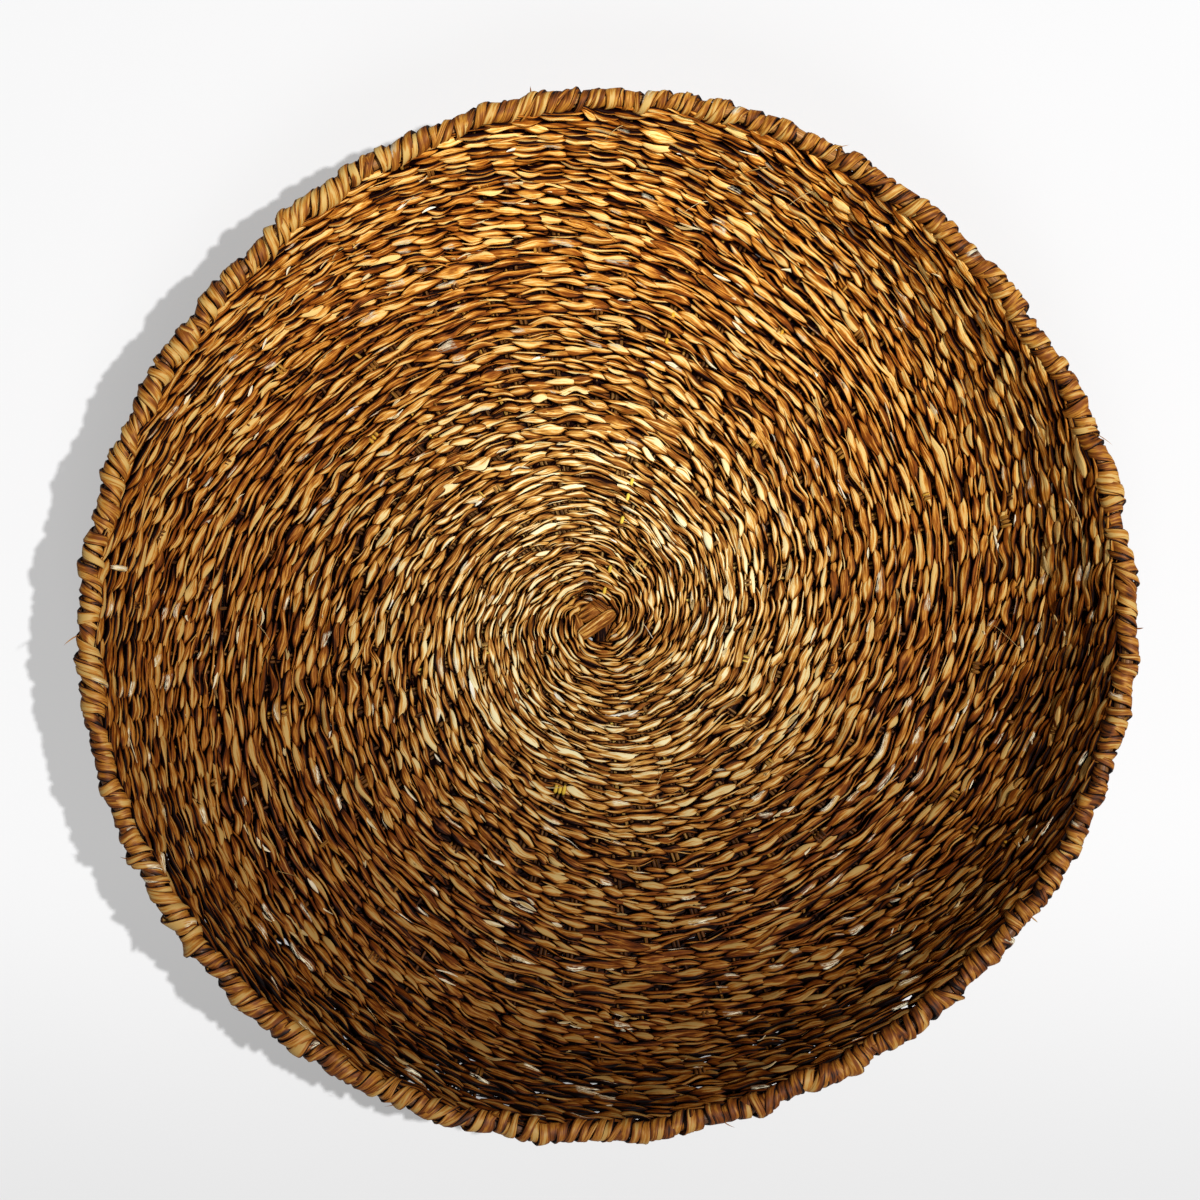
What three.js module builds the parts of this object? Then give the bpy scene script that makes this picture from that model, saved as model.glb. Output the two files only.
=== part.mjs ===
// A round seagrass tray: doubled stakes run out from a starting knot, flat seagrass courses are woven
// over and under them across the floor and up a flared wall, and a rim hoop closes the top under a
// spiral binding. Millimetres, +Z up, origin at the middle of the underside.
import * as THREE from "three";

// Driving dimensions
const TRAY_DIAMETER = 450; // over the bound rim
const TRAY_HEIGHT = 60; // table to the top of the bound rim
const WALL_FLARE = 58; // how far the rim's middle stands out past the flat floor
const RIM_THICKNESS = 15; // the bound rim, across its round section
const BINDING_THICKNESS = 1.4; // one layer of the strip wound round the rim
const HOOP_DIAMETER = 9; // the cane hoop inside the binding
const WEAVER_THICKNESS = 1.6; // a flattened seagrass strand
const STEM_THICKNESS = 2; // a stake's stem, square in section
const KNOT_DIAMETER = 30; // the starting knot in the middle of the floor

// Clearances
const FIT_GAP = 0.35; // between pieces that bear on each other
const COURSE_GAP = 0.6; // between neighbouring courses, and between the binding's turns
const STEM_EASE = 0.6; // how far a strand lies flat past each side of a stem

// Counts
const STAKES = 16; // each is one stem doubled at the knot, so it has two legs
const PAIRED_COURSES = 5; // woven over both legs of a stake at once
const SINGLE_COURSES = 7; // floor courses woven over each leg by itself
const BEND_COURSES = 4; // courses that turn from the floor up into the wall
const WALL_COURSES = 2; // courses on the straight part of the wall
const BINDING_STRIPS = 8; // strips of seagrass wound end to end round the rim
const TURNS_PER_LEG = 2; // turns of the binding from one stem to the next
const TURN_STEPS = 8; // straight steps in one turn of the binding
const HOOP_STEPS = 48;
const HOOP_SIDES = 6;
const DISC_STEPS = 24;

const STEEPEST_RISE = 2.15; // rise over run of a strand between two stems
const JOINT_STRIDE = 5; // stakes from one course's joint to the next one's

// Sizes that follow from those above
const LEGS = 2 * STAKES;
const LEG_ANGLE = (2 * Math.PI) / LEGS;
const TURN_ANGLE = LEG_ANGLE / TURNS_PER_LEG; // the binding's advance in one turn
const STRIP_STEPS = (LEGS * TURNS_PER_LEG * TURN_STEPS) / BINDING_STRIPS;
const SWING = STEM_THICKNESS / 2 + FIT_GAP + WEAVER_THICKNESS / 2; // strand's middle to the stakes' middle
const FLOOR_MIDDLE = SWING + WEAVER_THICKNESS / 2; // height of the stakes' middle above the table
const RIM_RADIUS = TRAY_DIAMETER / 2 - RIM_THICKNESS / 2;
const RIM_HEIGHT = TRAY_HEIGHT - RIM_THICKNESS / 2;
const FLOOR_RADIUS = RIM_RADIUS - WALL_FLARE;
const BINDING_OUTER = RIM_THICKNESS / 2;
const BINDING_INNER = BINDING_OUTER - BINDING_THICKNESS;
const BORE_RADIUS = BINDING_INNER * Math.cos(Math.PI / TURN_STEPS); // to the flats of the binding's bore
const HOOP_SHIFT = BORE_RADIUS - FIT_GAP - HOOP_DIAMETER / 2; // the hoop lies on the bore's far side
const TIP_REACH = HOOP_DIAMETER / 2 - HOOP_SHIFT + FIT_GAP; // from the rim's middle to the stems' tips
const KNOT_RADIUS = KNOT_DIAMETER / 2;
const EYE_RADIUS = KNOT_RADIUS + FIT_GAP + STEM_THICKNESS / 2; // where a stake doubles back
const FLAT_HALF = STEM_THICKNESS / 2 + STEM_EASE; // half of a strand's flat stretch over one stem
const NARROWEST_WEAVE = ((2 * SWING) / STEEPEST_RISE + 2 * FLAT_HALF) / LEG_ANGLE;
const FIRST_COURSE = Math.max(NARROWEST_WEAVE, EYE_RADIUS + 2 * STEM_THICKNESS);
const FLOOR_COURSES = PAIRED_COURSES + SINGLE_COURSES;
const FLOOR_PITCH = (FLOOR_RADIUS - FIRST_COURSE) / FLOOR_COURSES;

const seagrass = new THREE.MeshStandardMaterial({ color: 0x9c6a2a, roughness: 0.62, metalness: 0 });
const stem = new THREE.MeshStandardMaterial({ color: 0xc79a4a, roughness: 0.7, metalness: 0 });
const cane = new THREE.MeshStandardMaterial({ color: 0xb98a45, roughness: 0.55, metalness: 0 });
const binding = new THREE.MeshStandardMaterial({ color: 0xa8702c, roughness: 0.58, metalness: 0 });

const UP = new THREE.Vector3(0, 0, 1);
const tray = new THREE.Group();

function add(name, geometry, material) {
  const mesh = new THREE.Mesh(geometry, material);
  mesh.name = name;
  tray.add(mesh);
  return mesh;
}

function numbered(name, index) {
  return `${name}_${String(index + 1).padStart(2, "0")}`;
}

// A closed solid through a run of four-cornered sections, with a flat end at each end of the run.
function sweep(sections) {
  const corners = sections[0].length;
  const points = sections.flat().flatMap((p) => [p.x, p.y, p.z]);
  const faces = [];
  for (let i = 0; i + 1 < sections.length; i++) {
    for (let j = 0; j < corners; j++) {
      const a = i * corners + j;
      const b = i * corners + ((j + 1) % corners);
      faces.push(a, b, b + corners, a, b + corners, a + corners);
    }
  }
  const last = (sections.length - 1) * corners;
  for (let j = 1; j + 1 < corners; j++) {
    faces.push(0, j + 1, j, last, last + j, last + j + 1);
  }
  const geometry = new THREE.BufferGeometry();
  geometry.setAttribute("position", new THREE.Float32BufferAttribute(points, 3));
  geometry.setIndex(faces);
  geometry.computeVertexNormals();
  return geometry;
}

// The wall's steepness, and the width of its courses, that carry it from the floor's edge to the rim.
// The bend's courses climb in equal steps of angle up to the slope of the straight wall.
function solveWall() {
  const rimReach = RIM_THICKNESS / 2 + COURSE_GAP; // from the rim's middle to the last course's edge
  const across = RIM_RADIUS - FLOOR_RADIUS;
  const rise = RIM_HEIGHT - FLOOR_MIDDLE;
  const stepsAt = (slope) => {
    const run = new THREE.Vector2();
    for (let i = 1; i <= BEND_COURSES; i++) {
      const angle = (slope * i) / (BEND_COURSES + 1);
      run.add(new THREE.Vector2(Math.cos(angle), Math.sin(angle)));
    }
    return run.add(new THREE.Vector2(Math.cos(slope), Math.sin(slope)).multiplyScalar(WALL_COURSES));
  };
  let low = 0;
  let high = Math.PI / 2;
  let pitch = 0;
  for (let i = 0; i < 60; i++) {
    const slope = (low + high) / 2;
    const run = stepsAt(slope);
    pitch = (rise - rimReach * Math.sin(slope)) / run.y;
    const reached = pitch * run.x + rimReach * Math.cos(slope);
    if (reached > across) low = slope;
    else high = slope;
  }
  return { slope: low, pitch };
}

// The places of all courses along the tray's section: the middle of each course, its slope and its pitch.
function layCourses(wall) {
  const courses = [];
  for (let i = 0; i < FLOOR_COURSES; i++) {
    const radius = FIRST_COURSE + FLOOR_PITCH * (i + 0.5);
    courses.push({ radius, height: FLOOR_MIDDLE, slope: 0, pitch: FLOOR_PITCH, paired: i < PAIRED_COURSES });
  }
  let radius = FLOOR_RADIUS;
  let height = FLOOR_MIDDLE;
  for (let i = 1; i <= BEND_COURSES + WALL_COURSES; i++) {
    const slope = (wall.slope * Math.min(i, BEND_COURSES + 1)) / (BEND_COURSES + 1);
    const half = new THREE.Vector2(Math.cos(slope), Math.sin(slope)).multiplyScalar(wall.pitch / 2);
    courses.push({ radius: radius + half.x, height: height + half.y, slope, pitch: wall.pitch, paired: false });
    radius += 2 * half.x;
    height += 2 * half.y;
  }
  return courses;
}

// One course: a flat strand that passes over one stem and under the next, right round the tray, with its
// two ends meeting behind a stem. A neighbour leans in on each side where the section bends.
function weaver(course, index, courses) {
  const reach = SWING + WEAVER_THICKNESS / 2;
  const lean = (other) => (other ? reach * Math.tan(Math.abs(other.slope - course.slope) / 2) : 0);
  const half = (course.pitch - COURSE_GAP) / 2 - Math.max(lean(courses[index - 1]), lean(courses[index + 1]));
  const innerEdge = course.radius - half * Math.cos(course.slope);
  const stations = course.paired ? STAKES : LEGS;
  const step = (2 * Math.PI) / stations;
  const flat = (course.paired ? LEG_ANGLE / 2 : 0) + FLAT_HALF / innerEdge;
  const first = course.paired ? 0 : LEG_ANGLE / 2;
  const joint = (index * JOINT_STRIDE * 2 + index) % stations; // always a station where the strand lies outside
  const jointHalf = COURSE_GAP / 2 / innerEdge;
  const path = [];
  for (let i = 0; i <= stations; i++) {
    const middle = first + (joint + i) * step;
    const side = (joint + i + index) % 2 === 0 ? -SWING : SWING;
    path.push({ angle: i === 0 ? middle + jointHalf : middle - flat, offset: side });
    path.push({ angle: i === stations ? middle - jointHalf : middle + flat, offset: side });
  }
  const sections = path.map(({ angle, offset }) => {
    const out = new THREE.Vector3(Math.cos(angle), Math.sin(angle), 0);
    const along = out.clone().multiplyScalar(Math.cos(course.slope)).addScaledVector(UP, Math.sin(course.slope));
    const inward = out.clone().multiplyScalar(-Math.sin(course.slope)).addScaledVector(UP, Math.cos(course.slope));
    const middle = out.clone().multiplyScalar(course.radius).addScaledVector(UP, course.height);
    const corner = (a, b) =>
      middle.clone().addScaledVector(along, a * half).addScaledVector(inward, offset + (b * WEAVER_THICKNESS) / 2);
    return [corner(-1, -1), corner(-1, 1), corner(1, 1), corner(1, -1)];
  });
  return sweep(sections);
}

// One stake: a stem doubled round the knot, with a leg on either side that runs out under the courses and
// up the wall to the rim. Corners are mitred.
function stake(index, courses, wall) {
  const middle = index * 2 * LEG_ANGLE;
  const profile = [new THREE.Vector2(EYE_RADIUS, FLOOR_MIDDLE), new THREE.Vector2(FLOOR_RADIUS, FLOOR_MIDDLE)];
  for (const course of courses.slice(FLOOR_COURSES)) {
    const step = new THREE.Vector2(Math.cos(course.slope), Math.sin(course.slope)).multiplyScalar(wall.pitch);
    profile.push(profile[profile.length - 1].clone().add(step));
  }
  const tip = new THREE.Vector2(Math.cos(wall.slope), Math.sin(wall.slope)).multiplyScalar(-TIP_REACH);
  profile.length = 2 + BEND_COURSES; // the straight wall needs only its two ends
  profile.push(tip.add(new THREE.Vector2(RIM_RADIUS, RIM_HEIGHT)));
  const leg = (angle) =>
    profile.map((p) => new THREE.Vector3(p.x * Math.cos(angle), p.x * Math.sin(angle), p.y));
  const path = [...leg(middle - LEG_ANGLE / 2).reverse(), ...leg(middle + LEG_ANGLE / 2)];
  const frames = path.slice(0, -1).map((p, i) => {
    const ahead = path[i + 1].clone().sub(p).normalize();
    const half = path.length / 2;
    const out = new THREE.Vector3(Math.cos(middle), Math.sin(middle), 0);
    const aside = i === half - 1 ? out.negate() : new THREE.Vector3().crossVectors(UP, ahead).normalize();
    return { ahead, aside, inward: new THREE.Vector3().crossVectors(ahead, aside) };
  });
  const half = STEM_THICKNESS / 2;
  const sections = path.map((p, i) => {
    const before = frames[Math.max(i - 1, 0)];
    const after = frames[Math.min(i, frames.length - 1)];
    const cut = before.ahead.clone().add(after.ahead).normalize();
    const corner = (a, b) => {
      const offset = before.aside.clone().multiplyScalar(a * half).addScaledVector(before.inward, b * half);
      return offset.addScaledVector(before.ahead, -offset.dot(cut) / before.ahead.dot(cut)).add(p);
    };
    return [corner(1, -1), corner(1, 1), corner(-1, 1), corner(-1, -1)];
  });
  return sweep(sections);
}

// One strip of the rim's binding, wound round the hoop in a spiral that the strips share end to end, and the
// least gap between its turns. Where the stems come in from the wall the strip is pinched, so that each stem
// passes between two turns.
function bindingStrip(index, wall) {
  const entry = Math.PI + wall.slope; // where the stems come in, as an angle round the rim's section
  const stemTurn = 2 * Math.asin(STEM_THICKNESS / 2 / BINDING_INNER);
  const drift = (TURN_ANGLE * stemTurn) / (2 * Math.PI);
  const wide = TURN_ANGLE / 2 - COURSE_GAP / 2 / (RIM_RADIUS - BINDING_OUTER);
  const pinched = (TURN_ANGLE - drift - (STEM_THICKNESS + 2 * FIT_GAP) / (RIM_RADIUS - BINDING_OUTER)) / 2;
  const pinchReach = (1.3 * 2 * Math.PI) / TURN_STEPS;
  const endTurn = COURSE_GAP / 2 / BINDING_INNER; // half of the gap between two strips' ends
  const firstStep = index * STRIP_STEPS;
  const sections = [];
  for (let i = 0; i <= STRIP_STEPS; i++) {
    const trim = i === 0 ? endTurn : i === STRIP_STEPS ? -endTurn : 0;
    const turn = (2 * Math.PI * (firstStep + i)) / TURN_STEPS - Math.PI / 4 + trim;
    const angle = (TURN_ANGLE * (turn - entry)) / (2 * Math.PI) + (LEG_ANGLE - TURN_ANGLE) / 2;
    const fromEntry = Math.acos(Math.cos(turn - entry));
    const half = fromEntry < pinchReach ? pinched : wide;
    const corner = (side, radius) => {
      const out = RIM_RADIUS + radius * Math.cos(turn);
      const a = angle + side * half;
      return new THREE.Vector3(out * Math.cos(a), out * Math.sin(a), RIM_HEIGHT + radius * Math.sin(turn));
    };
    sections.push([
      corner(-1, BINDING_INNER),
      corner(-1, BINDING_OUTER),
      corner(1, BINDING_OUTER),
      corner(1, BINDING_INNER),
    ]);
  }
  return { geometry: sweep(sections), leastGap: leastTurnGap(sections) };
}

// The least distance from the leading edge of one turn to the trailing edge of the next, on their corners.
function leastTurnGap(sections) {
  let least = Infinity;
  for (let i = 0; i + TURN_STEPS < sections.length; i++) {
    const [, , leadOuter, leadInner] = sections[i];
    const [trailInner, trailOuter] = sections[i + TURN_STEPS];
    least = Math.min(least, leadOuter.distanceTo(trailOuter), leadInner.distanceTo(trailInner));
  }
  return least;
}

// A flat ring of one strand's thickness that lies over or under the stakes round the knot.
function startingRing(height) {
  const outline = new THREE.Shape().absarc(0, 0, FIRST_COURSE - COURSE_GAP, 0, 2 * Math.PI);
  outline.holes.push(new THREE.Path().absarc(0, 0, KNOT_RADIUS + FIT_GAP, 0, 2 * Math.PI, true));
  const ring = new THREE.ExtrudeGeometry(outline, {
    depth: WEAVER_THICKNESS,
    bevelEnabled: false,
    curveSegments: DISC_STEPS,
  });
  return ring.translate(0, 0, height);
}

// The middle: a flat knot the full thickness of the weave, with a ring of strand above and below the stakes
const knotHeight = 2 * FLOOR_MIDDLE;
const knot = new THREE.CylinderGeometry(KNOT_RADIUS, KNOT_RADIUS, knotHeight, DISC_STEPS);
add("starting_knot", knot.rotateX(Math.PI / 2).translate(0, 0, knotHeight / 2), seagrass);
add("starting_ring_upper", startingRing(knotHeight - WEAVER_THICKNESS), seagrass);
add("starting_ring_lower", startingRing(0), seagrass);

// The stakes and the courses woven through them
const wall = solveWall();
const courses = layCourses(wall);
for (let i = 0; i < STAKES; i++) {
  add(numbered("stake", i), stake(i, courses, wall), stem);
}
courses.forEach((course, i) => {
  const place = i < FLOOR_COURSES ? "floor_weaver" : "wall_weaver";
  add(numbered(place, i < FLOOR_COURSES ? i : i - FLOOR_COURSES), weaver(course, i, courses), seagrass);
});

// The rim: a cane hoop that the stems' tips bear on, and the strips wound round both
const hoop = new THREE.TorusGeometry(
  RIM_RADIUS + HOOP_SHIFT * Math.cos(wall.slope),
  HOOP_DIAMETER / 2,
  HOOP_SIDES,
  HOOP_STEPS,
);
add("rim_hoop", hoop.translate(0, 0, RIM_HEIGHT + HOOP_SHIFT * Math.sin(wall.slope)), cane);
for (let i = 0; i < BINDING_STRIPS; i++) {
  const strip = bindingStrip(i, wall);
  add(numbered("rim_binding", i), strip.geometry, binding);
  console.log(`rim binding ${i + 1}: least gap between turns ${strip.leastGap.toFixed(2)} mm`);
}

export default tray;
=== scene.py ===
"""A round seagrass tray, woven by hand over thin stems and bound with seagrass at the rim.

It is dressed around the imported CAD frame, in metres, with +Z up out of the tray's mouth.
"""

import math

import bmesh
import bpy
import mathutils
import numpy as np
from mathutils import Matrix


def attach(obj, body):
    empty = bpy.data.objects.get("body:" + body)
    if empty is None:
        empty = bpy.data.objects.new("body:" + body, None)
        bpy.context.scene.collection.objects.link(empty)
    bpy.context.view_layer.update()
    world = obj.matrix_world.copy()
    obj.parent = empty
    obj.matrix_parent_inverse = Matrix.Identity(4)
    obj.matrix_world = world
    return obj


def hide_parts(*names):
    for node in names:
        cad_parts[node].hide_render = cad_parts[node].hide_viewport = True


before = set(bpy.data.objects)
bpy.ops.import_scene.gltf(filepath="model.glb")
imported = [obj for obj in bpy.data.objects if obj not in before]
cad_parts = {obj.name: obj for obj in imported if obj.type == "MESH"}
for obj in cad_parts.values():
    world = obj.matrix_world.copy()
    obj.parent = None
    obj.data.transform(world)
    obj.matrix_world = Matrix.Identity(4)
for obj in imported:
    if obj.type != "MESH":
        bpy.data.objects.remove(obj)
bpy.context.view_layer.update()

# The stakes
# Thin straw-coloured stems run out from the middle in bunches, which split into fours, pairs and singles
# as the floor widens, turn up into the wall and end inside the rim.
FLOOR_MIDDLE = 0.00295  # height of the stems' middle
FLOOR_EDGE = 0.1535  # where the floor begins to turn up
BEND_RADIUS = 0.0592
WALL_SLOPE = math.radians(57.66)
WALL_TOP = 0.2395  # distance along the section from the middle to the binding
RIM_RADIUS = 0.2207
RIM_HEIGHT = 0.0540
STEM_COUNT = 144
STEM_WIDTH = 0.0017
STEM_SIDES = 6
STEM_STEPS = 56
STEM_SPACING = 0.00185
SPLIT_REACH = 0.022  # how far before a split the stems begin to part
BUNCH_EDGE = 0.0376  # inside this, only two stems of each bunch of eight
# Where the stakes multiply: the distance from the middle, and how many there are from there on
STAKE_ZONES = ((0.0, 12), (0.020, 24), (0.0376, 38), (0.0708, 58), (0.096, 78), (0.174, 118))
BUNCH_SIZE = 8
LONG_STEMS = (2, 5)  # the two stems of a bunch that reach in to the knot
KNOT_EDGE = 0.012
STEM_OVERLAP = 0.004  # how far the other stems reach in past the bunch's edge
TIP_REACH = 0.003  # how far the stems' tips run on into the rim
STEM_DROP = 0.0003  # the stems lie a little below the middle of the weave
# Most stems are dark brown, partly as painted shade where they show in the gaps between the rows; a few are
# straw yellow.
STEM_TONES = (0.1, 0.35, 0.6, 1.15)
STEM_TONE_SHARES = (0.70, 0.20, 0.08, 0.02)
STEM_FIBRE = (5.0, 220.0)  # the fibre pattern's run round a stem and along it
RIDGE_HEIGHT = 0.0004  # of the fibres on a strand's skin
# Waves that put the tray out of round: how many, and their cosine and sine as shares of the radius
HAND_SHAPE = ((1, 0.0138, 0.0024), (2, 0.0042, 0.0123), (3, 0.0038, -0.0069), (4, 0.0053, -0.0016))


def hand_shape(angle):
    """How far the tray is out of round, as a share of the radius: it was pulled into shape by hand."""
    shape = 0
    for waves, by_cosine, by_sine in HAND_SHAPE:
        shape = shape + by_cosine * np.cos(waves * angle) + by_sine * np.sin(waves * angle)
    return shape


def on_tray(along, angle, inward):
    """The point at a distance from the middle along the section, at an angle, and inward of the stems."""
    bend = np.clip((along - FLOOR_EDGE) / BEND_RADIUS, 0, WALL_SLOPE)
    flat = np.minimum(along, FLOOR_EDGE)
    wall = np.maximum(along - FLOOR_EDGE - BEND_RADIUS * WALL_SLOPE, 0)
    radius = flat + BEND_RADIUS * np.sin(bend) + wall * math.cos(WALL_SLOPE) - inward * np.sin(bend)
    height = BEND_RADIUS * (1 - np.cos(bend)) + wall * math.sin(WALL_SLOPE) + inward * np.cos(bend)
    radius = radius * (1 + hand_shape(angle) * (radius / RIM_RADIUS) ** 2)
    height = height + FLOOR_MIDDLE
    return np.stack(np.broadcast_arrays(radius * np.cos(angle), radius * np.sin(angle), height), axis=-1)


def lay_strands(name, strands, material):
    """One piece from strands, each a grid of points rolled into a tube, with its fibre direction and tone."""
    built = bmesh.new()
    built.loops.layers.uv.new("fibre")
    for strand in strands:
        steps, sides = strand["points"].shape[:2]
        bmesh.ops.create_grid(built, x_segments=sides - 1, y_segments=steps - 1, size=0.5, calc_uvs=True)
    mesh = bpy.data.meshes.new(name)
    built.to_mesh(mesh)
    built.free()
    points = np.concatenate([strand["points"].reshape(-1, 3) for strand in strands])
    mesh.vertices.foreach_set("co", points.astype(np.float32).ravel())
    fibre = np.empty(2 * len(mesh.loops), np.float32)
    mesh.uv_layers["fibre"].data.foreach_get("uv", fibre)
    fibre = fibre.reshape(-1, 2)
    first = 0
    for strand in strands:
        steps, sides = strand["points"].shape[:2]
        last = first + 4 * (steps - 1) * (sides - 1)
        fibre[first:last] = fibre[first:last] * strand["size"] + strand["start"]
        first = last
    mesh.uv_layers["fibre"].data.foreach_set("uv", fibre.ravel())
    for mark in ("tone", "torn"):
        held = []
        for strand in strands:
            held.append(np.broadcast_to(strand.get(mark, 0.0), strand["points"].shape[:2]).ravel())
        layer = mesh.attributes.new(mark, "FLOAT", "POINT")
        layer.data.foreach_set("value", np.concatenate(held).astype(np.float32))
    joined = bmesh.new()
    joined.from_mesh(mesh)
    bmesh.ops.remove_doubles(joined, verts=joined.verts, dist=1e-7)
    joined.to_mesh(mesh)
    joined.free()
    mesh.shade_smooth()
    mesh.materials.append(material)
    piece = bpy.data.objects.new(name, mesh)
    bpy.context.scene.collection.objects.link(piece)
    return piece


def ease(value, low, high):
    """0 below low, 1 above high and smooth between."""
    share = np.clip((value - low) / (high - low), 0, 1)
    return share * share * (3 - 2 * share)


def dried_fibre():
    """Shader group: dried plant fibre, in streaks along the strand, blotches and pale torn flecks, with
    painted light and shade by place.
    """
    group = bpy.data.node_groups.new("dried_fibre", "ShaderNodeTree")
    face = group.interface
    for name in ("Fibre", "Place"):
        face.new_socket(name, in_out="INPUT", socket_type="NodeSocketVector")
    for name in ("Tone", "Torn", "Side Light", "Rim Shade"):
        face.new_socket(name, in_out="INPUT", socket_type="NodeSocketFloat")
    for name in ("Dark", "Middle", "Light", "Pale"):
        face.new_socket(name, in_out="INPUT", socket_type="NodeSocketColor")
    face.new_socket("Color", in_out="OUTPUT", socket_type="NodeSocketColor")
    for name in ("Roughness", "Height"):
        face.new_socket(name, in_out="OUTPUT", socket_type="NodeSocketFloat")
    node, link = group.nodes.new, group.links.new
    given = node("NodeGroupInput")
    put = node("NodeGroupOutput")

    def noise(across, along, detail, rough):
        """Noise that is drawn out along the strand."""
        stretch = node("ShaderNodeMapping")
        stretch.inputs["Scale"].default_value = (across, along, 1)
        grain = node("ShaderNodeTexNoise")
        grain.inputs["Scale"].default_value = 1
        grain.inputs["Detail"].default_value = detail
        grain.inputs["Roughness"].default_value = rough
        link(given.outputs["Fibre"], stretch.inputs["Vector"])
        link(stretch.outputs["Vector"], grain.inputs["Vector"])
        return grain.outputs["Fac"]

    def ramp(value, low, high, to_low=0.0, to_high=1.0):
        """A value carried smoothly from one range to another."""
        scaled = node("ShaderNodeMapRange")
        scaled.interpolation_type = "SMOOTHSTEP"
        scaled.inputs["From Min"].default_value = low
        scaled.inputs["From Max"].default_value = high
        scaled.inputs["To Min"].default_value = to_low
        scaled.inputs["To Max"].default_value = to_high
        link(value, scaled.inputs["Value"])
        return scaled.outputs["Result"]

    def maths(operation, *values):
        """One step of arithmetic on sockets and plain numbers."""
        step = node("ShaderNodeMath")
        step.operation = operation
        for socket, value in zip(step.inputs, values):
            if isinstance(value, float):
                socket.default_value = value
            else:
                link(value, socket)
        return step.outputs["Value"]

    def mix(share, first, second):
        """Two colours mixed by a share."""
        blend = node("ShaderNodeMix")
        blend.data_type = "RGBA"
        link(share, blend.inputs["Factor"])
        link(first, blend.inputs["A"])
        link(second, blend.inputs["B"])
        return blend.outputs["Result"]

    def painted_light():
        """The tint by place: darker out to the rim as painted shade, and lighter on the far side as painted
        light.
        """
        apart = node("ShaderNodeSeparateXYZ")
        link(given.outputs["Place"], apart.inputs["Vector"])
        level = node("ShaderNodeCombineXYZ")
        link(apart.outputs["X"], level.inputs["X"])
        link(apart.outputs["Y"], level.inputs["Y"])
        reach = node("ShaderNodeVectorMath")
        reach.operation = "LENGTH"
        link(level.outputs["Vector"], reach.inputs["Vector"])
        # Painted shade: darker out towards the rim, where the wall keeps the light off; the very middle is a
        # little darker too.
        rim_shade_share = ramp(reach.outputs["Value"], 0.02, 0.16, 1.10, 0.62)
        rim_shade_share = maths("MULTIPLY", rim_shade_share, ramp(reach.outputs["Value"], 0.010, 0.060, 0.81, 1.0))
        rim_shade_share = maths("POWER", rim_shade_share, given.outputs["Rim Shade"])
        # Painted light: lighter towards the far side and a little towards the right, darker at the near side.
        lean = maths("MULTIPLY", apart.outputs["X"], 0.75)
        side = maths("MULTIPLY_ADD", apart.outputs["Y"], 4.0, lean)
        side_light_share = maths("EXPONENT", maths("MULTIPLY", side, given.outputs["Side Light"]))
        tint = node("ShaderNodeCombineXYZ")
        for socket, by_reach, by_side in (("X", 1.0, 1.0), ("Y", 1.7, 1.15), ("Z", 3.0, 1.3)):
            share = maths("MULTIPLY", maths("POWER", rim_shade_share, by_reach), maths("POWER", side_light_share, by_side))
            link(share, tint.inputs[socket])
        return tint.outputs["Vector"]

    streak = noise(1.2, 0.08, 3, 0.6)
    hair = noise(2.8, 0.12, 2, 0.5)
    blotch = noise(0.22, 0.04, 2, 0.5)
    shred = noise(2.0, 0.18, 3, 0.7)
    tone = maths("ADD", given.outputs["Tone"], ramp(streak, 0.3, 0.7, -0.39, 0.39))
    tone = maths("ADD", tone, ramp(hair, 0.3, 0.7, -0.1, 0.1))
    tone = maths("ADD", tone, ramp(blotch, 0.3, 0.7, -0.12, 0.12))
    colour = mix(ramp(tone, -0.15, 0.45), given.outputs["Dark"], given.outputs["Middle"])
    colour = mix(ramp(tone, 0.4, 0.85), colour, given.outputs["Light"])
    colour = mix(ramp(tone, 0.78, 1.1), colour, given.outputs["Pale"])
    torn = maths("MULTIPLY", given.outputs["Torn"], ramp(shred, 0.45, 0.56, 0.0, 0.9))
    shaded_colour = node("ShaderNodeVectorMath")
    shaded_colour.operation = "MULTIPLY"
    link(colour, shaded_colour.inputs[0])
    link(painted_light(), shaded_colour.inputs[1])
    bleached = node("ShaderNodeRGB")
    bleached.outputs["Color"].default_value = (0.92, 0.82, 0.58, 1)
    colour = mix(torn, shaded_colour.outputs["Vector"], bleached.outputs["Color"])
    link(colour, put.inputs["Color"])
    link(ramp(streak, 0.2, 0.8, 0.75, 0.48), put.inputs["Roughness"])
    link(maths("ADD", streak, maths("MULTIPLY", torn, shred)), put.inputs["Height"])
    return group


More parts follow.
